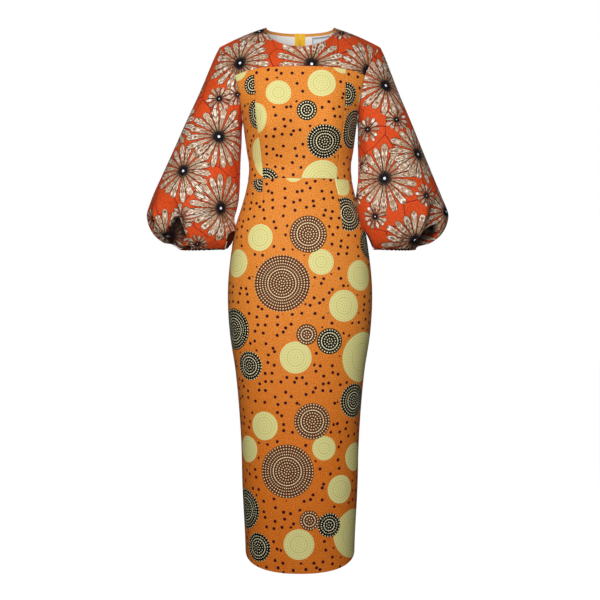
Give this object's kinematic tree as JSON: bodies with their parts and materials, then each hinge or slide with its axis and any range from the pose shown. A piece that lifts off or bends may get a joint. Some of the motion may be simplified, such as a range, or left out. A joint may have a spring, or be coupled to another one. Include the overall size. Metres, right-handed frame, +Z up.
{
  "type": "lantern sleeve dress",
  "caption": "Long fitted dress with round neck, front yoke, princess seams, waist seam and wide lantern sleeves gathered into narrow cuffs; zip down the back.",
  "frame": {"origin": "midway between the neck ends of the two shoulder seams, where the dress hangs on the wearer", "axes": "+Z up along the body, -Y towards the front, +X towards the wearer's left"},
  "size_m": [0.7184, 0.2535, 1.2915],
  "materials": {
    "dotted_print": "matt orange crepe printed with dotted discs",
    "flower_print": "matt rust red crepe printed with long-petalled flowers",
    "binding": "matt orange bias strip",
    "label": "smooth white woven ribbon",
    "zip_tape": "yellow woven tape and coil",
    "zip_metal": "polished and lacquered"
  },
  "bodies": {
    "dress": {"front_yoke": "flower_print", "bodice_center_front": "dotted_print", "bodice_side_front_left": "dotted_print", "bodice_side_front_right": "dotted_print", "back_bodice_left": "dotted_print", "back_bodice_right": "dotted_print", "skirt_front": "dotted_print", "skirt_back_left": "dotted_print", "skirt_back_right": "dotted_print", "sleeve_left": "flower_print", "sleeve_right": "flower_print", "cuff_left": "flower_print", "cuff_right": "flower_print", "neck_binding_left": "binding", "neck_binding_right": "binding", "neck_label": "label", "zip_tape_left": "zip_tape", "zip_tape_right": "zip_tape", "zip_chain": "zip_tape", "zip_slider": "zip_metal"},
    "zip_pull": {"zip_pull": "zip_metal"}
  },
  "joints": [
    {"name": "zip_pull_swing", "type": "hinge", "parent": "dress", "child": "zip_pull", "pos_m": [0, 0.07509, -0.01884], "axis": [1, 0, 0], "range_deg": [0, 150]}
  ]
}
